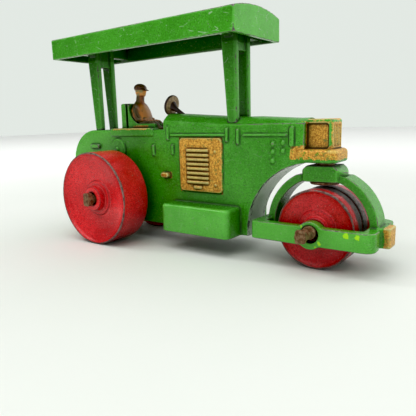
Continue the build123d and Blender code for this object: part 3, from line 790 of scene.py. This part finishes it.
# ---------------------------------------------------------------- driver
def driver():
    """Little cast driver in a peaked cap, leaning back in the seat, hands in the lap."""
    seat = box_mm("driver")[0][2] + 0.5

    def at(forward, y, up):
        return (AXLE_X + forward, y, seat + up)

    def limb(*sections):
        """Tube through (forward, y, up, across, along) sections."""
        return tube([at(*section[:3]) for section in sections],
                    [section[3:] for section in sections])

    shapes = [
        limb((2.95, 0, 0.0, 1.05, 0.9), (2.9, 0, 0.35, 1.12, 0.96), (2.68, 0, 1.0, 1.2, 0.96),
             (2.38, 0, 1.7, 1.28, 0.92), (2.02, 0, 2.35, 1.26, 0.84), (1.84, 0, 2.8, 1.08, 0.76),
             (1.86, 0, 3.1, 0.78, 0.68), (1.9, 0, 3.3, 0.52, 0.57)),             # trunk
        limb((1.88, 0, 2.7, 0.66, 0.66), (1.94, 0, 3.5, 0.56, 0.58), (2.08, 0, 4.3, 0.52, 0.57)),
        ball(at(2.14, 0, 4.6), (0.8, 0.7, 0.86)),                                # head
        ball(at(2.46, 0, 4.28), (0.46, 0.48, 0.44)),                             # jaw
        ball(at(3.0, 0, 4.52), (0.16, 0.12, 0.2), 20),                           # nose
        ball(at(2.55, 0, 4.8), (0.42, 0.5, 0.12)),                               # brow
        ball(at(2.08, 0, 5.06), (0.94, 0.84, 0.62), 6),                          # cap
        ball(at(2.1, 0, 4.97), (0.96, 0.86, 0.2), 6),                            # cap band
        ball(at(2.84, 0, 4.82), (0.68, 0.64, 0.1), 14),                          # peak
    ]
    for side in (-1, 1):
        collar = [at(1.5, 0.0, 3.1), at(1.9, side * 0.52, 3.0), at(2.35, side * 0.3, 2.75),
                  at(2.6, 0.0, 2.45)]
        shapes += [
            ball(at(2.07, side * 0.71, 4.54), (0.16, 0.1, 0.22)),                # ear
            tube(collar, [(0.1, 0.1)] * len(collar), 10),
            limb((1.75, side * 0.85, 2.6, 0.3, 0.3), (1.85, side * 1.12, 2.15, 0.42, 0.42),
                 (2.05, side * 1.24, 1.4, 0.4, 0.4), (2.45, side * 1.2, 0.85, 0.36, 0.36),
                 (3.1, side * 0.95, 0.75, 0.3, 0.3), (3.5, side * 0.72, 0.8, 0.22, 0.22)),    # arm
            ball(at(3.6, side * 0.66, 0.82), (0.28, 0.22, 0.2)),                 # hand
            limb((2.7, side * 0.55, 0.4, 0.44, 0.42), (3.4, side * 0.58, 0.42, 0.46, 0.42),
                 (4.2, side * 0.56, 0.4, 0.42, 0.38), (4.8, side * 0.52, 0.34, 0.38, 0.36),
                 (5.35, side * 0.5, -0.05, 0.34, 0.34), (5.95, side * 0.5, -0.42, 0.3, 0.3)),  # leg
            ball(at(6.1, side * 0.5, -0.44), (0.42, 0.3, 0.24)),                 # foot
        ]
    mesh, points = soft_skin(union_of(shapes), voxel=0.05, rounds=3)
    set_points(mesh, points)
    up, forward = points[:, 2] - seat, points[:, 0] - AXLE_X
    chin, hip = 3.95, 0.6
    cap_edge = 4.72 - 0.22 * np.clip(forward - 2.6, 0, 2)
    spine = np.interp(up, [0.0, 1.0, 2.35, 3.3], [2.95, 2.68, 2.02, 1.9])
    masks = {
        "zone": np.clip((up - chin) * 4, 0, 1) + np.clip((up - cap_edge) * 7, 0, 1),
        "front": np.where(up > hip, forward - spine, 0.0),
    }
    finish_piece("driver_figure", "driver", mesh, figure_paint(), "chassis",
                 wear_rounds=8, wear_size=0.03, masks=masks)


driver()


# ---------------------------------------------------------------- steering wheel
def steering_wheel():
    """Soft skin over the wheel, its cone and column; painted shade on the cone and the column, and
    a dark rim.
    """
    name = "steering_wheel"
    mesh, points = soft_skin(cad_copy(name), voxel=0.045, rounds=4)
    hub = np.array([AXLE_X + 7.5, 0, 18.25])
    lean = math.radians(15)
    axis = np.array([math.cos(lean), 0, -math.sin(lean)])
    local = points - hub
    along = local @ axis
    out = np.linalg.norm(local - np.outer(along, axis), axis=1)
    # mask of the painted shade on the cone and column, and of the dark rim
    cone, rim = 0.62 - out, out - 1.2
    dark = np.where(along > 0.5, 0.5, np.clip(np.maximum(cone, rim) * 2, -1, 1))
    roughen(mesh, points, depth=0.012, scale=2.0, offset=1.0)
    finish_piece(name + "_casting", name, mesh, wheel_paint(), "chassis",
                 wear_rounds=8, wear_size=0.03, masks={"dark": dark})


steering_wheel()


# ---------------------------------------------------------------- camera, floor and light
def add_camera():
    """Eye level near the bonnet's top, off the toy's front right corner."""
    yaw, pitch, roll = math.radians(36.46), math.radians(11.05), math.radians(-1.53)
    eye = Vector((35.21, -47.06, 16.22)) * MM
    flat_look = Vector((-math.sin(yaw), math.cos(yaw), 0))
    flat_right = Vector((math.cos(yaw), math.sin(yaw), 0))
    look = flat_look * math.cos(pitch) - Vector((0, 0, math.sin(pitch)))
    flat_up = flat_right.cross(look)
    right = flat_right * math.cos(roll) + flat_up * math.sin(roll)
    up = flat_up * math.cos(roll) - flat_right * math.sin(roll)
    data = bpy.data.cameras.new("camera")
    camera = link("camera", data)
    camera.matrix_world = Matrix.Translation(eye) @ Matrix((right, up, -look)).transposed().to_4x4()
    data.lens = 39.2
    data.sensor_width = 36
    data.clip_start = 1 * MM
    data.clip_end = 10
    bpy.context.scene.camera = camera


def add_floor():
    """Plain pale table, brighter further off as painted light where less light reaches it."""
    half = 0.6
    mesh = bpy.data.meshes.new("floor")
    corners = [(-half, -half, 0), (half, -half, 0), (half, half, 0), (-half, half, 0)]
    mesh.from_pydata(corners, [], [(0, 1, 2, 3)])
    g = Paint("pale table")
    away = g.vector("LENGTH", g.mm).outputs["Value"]
    base = g.mix(g.noise(0.05, 3), (0.74, 0.765, 0.725), (0.77, 0.79, 0.755))
    # painted light: floor colour brighter further from the toy
    base = g.mix(g.step(away, 45, 170), base, (0.97, 0.985, 0.96))
    mesh.materials.append(g.finish(
        Base_Color=base, Roughness=0.7, Specular_IOR_Level=0.2,
        Normal=g.bump(g.noise(1.5, 2), 0.01),
    ))
    link("floor", mesh)


def area_light(name, place, target, size, power, mirrored=True):
    data = bpy.data.lights.new(name, "AREA")
    data.shape = "RECTANGLE"
    data.size, data.size_y = size
    data.energy = power
    lamp = link(name, data)
    lamp.location = place
    lamp.rotation_mode = "QUATERNION"
    lamp.rotation_quaternion = (Vector(target) - Vector(place)).to_track_quat("-Z", "Y")
    lamp.visible_glossy = mirrored


def add_light():
    """Bright room behind and above the toy, dark room behind the camera, broad soft lamps."""
    bright_side = Vector((0.50, 0.66, 0.56)).normalized()
    world = bpy.data.worlds.new("studio")
    world.use_nodes = True
    g = Graph(world.node_tree)
    direction = g.node("ShaderNodeTexCoord").outputs["Generated"]
    towards = g.vector("DOT_PRODUCT", direction)
    towards.inputs[1].default_value = bright_side
    room = g.node("ShaderNodeValToRGB")
    dark_end, bright_end = room.color_ramp.elements
    dark_end.position, dark_end.color = 0.05, (0.26, 0.26, 0.26, 1)
    bright_end.position, bright_end.color = 0.95, (1.10, 1.12, 1.11, 1)
    g.put(room.inputs[0], towards.outputs["Value"])
    seen = g.node("ShaderNodeLightPath").outputs["Is Camera Ray"]
    backdrop = (0.735, 0.775, 0.74)
    g.put(g.tree.nodes["Background"].inputs["Color"], g.mix(seen, room.outputs[0], backdrop))
    bpy.context.scene.world = world
    area_light("overhead", (0.0, -0.20, 0.45), (0, 0, 0), (0.60, 0.50), 1.6)
    area_light("spot", (-0.24, -0.08, 0.32), (0, 0, 0.01), (0.06, 0.06), 0.18)
    area_light("front", (0.10, -0.50, 0.12), (0, 0, 0.01), (0.40, 0.20), 0.25, mirrored=False)


add_camera()
add_floor()
add_light()
view = bpy.context.scene.view_settings
view.view_transform = "Standard"
view.use_curve_mapping = True
view.curve_mapping.black_level = (0.010, 0.010, 0.010)
view.curve_mapping.update()
view.exposure = 0.12
view.gamma = 0.86
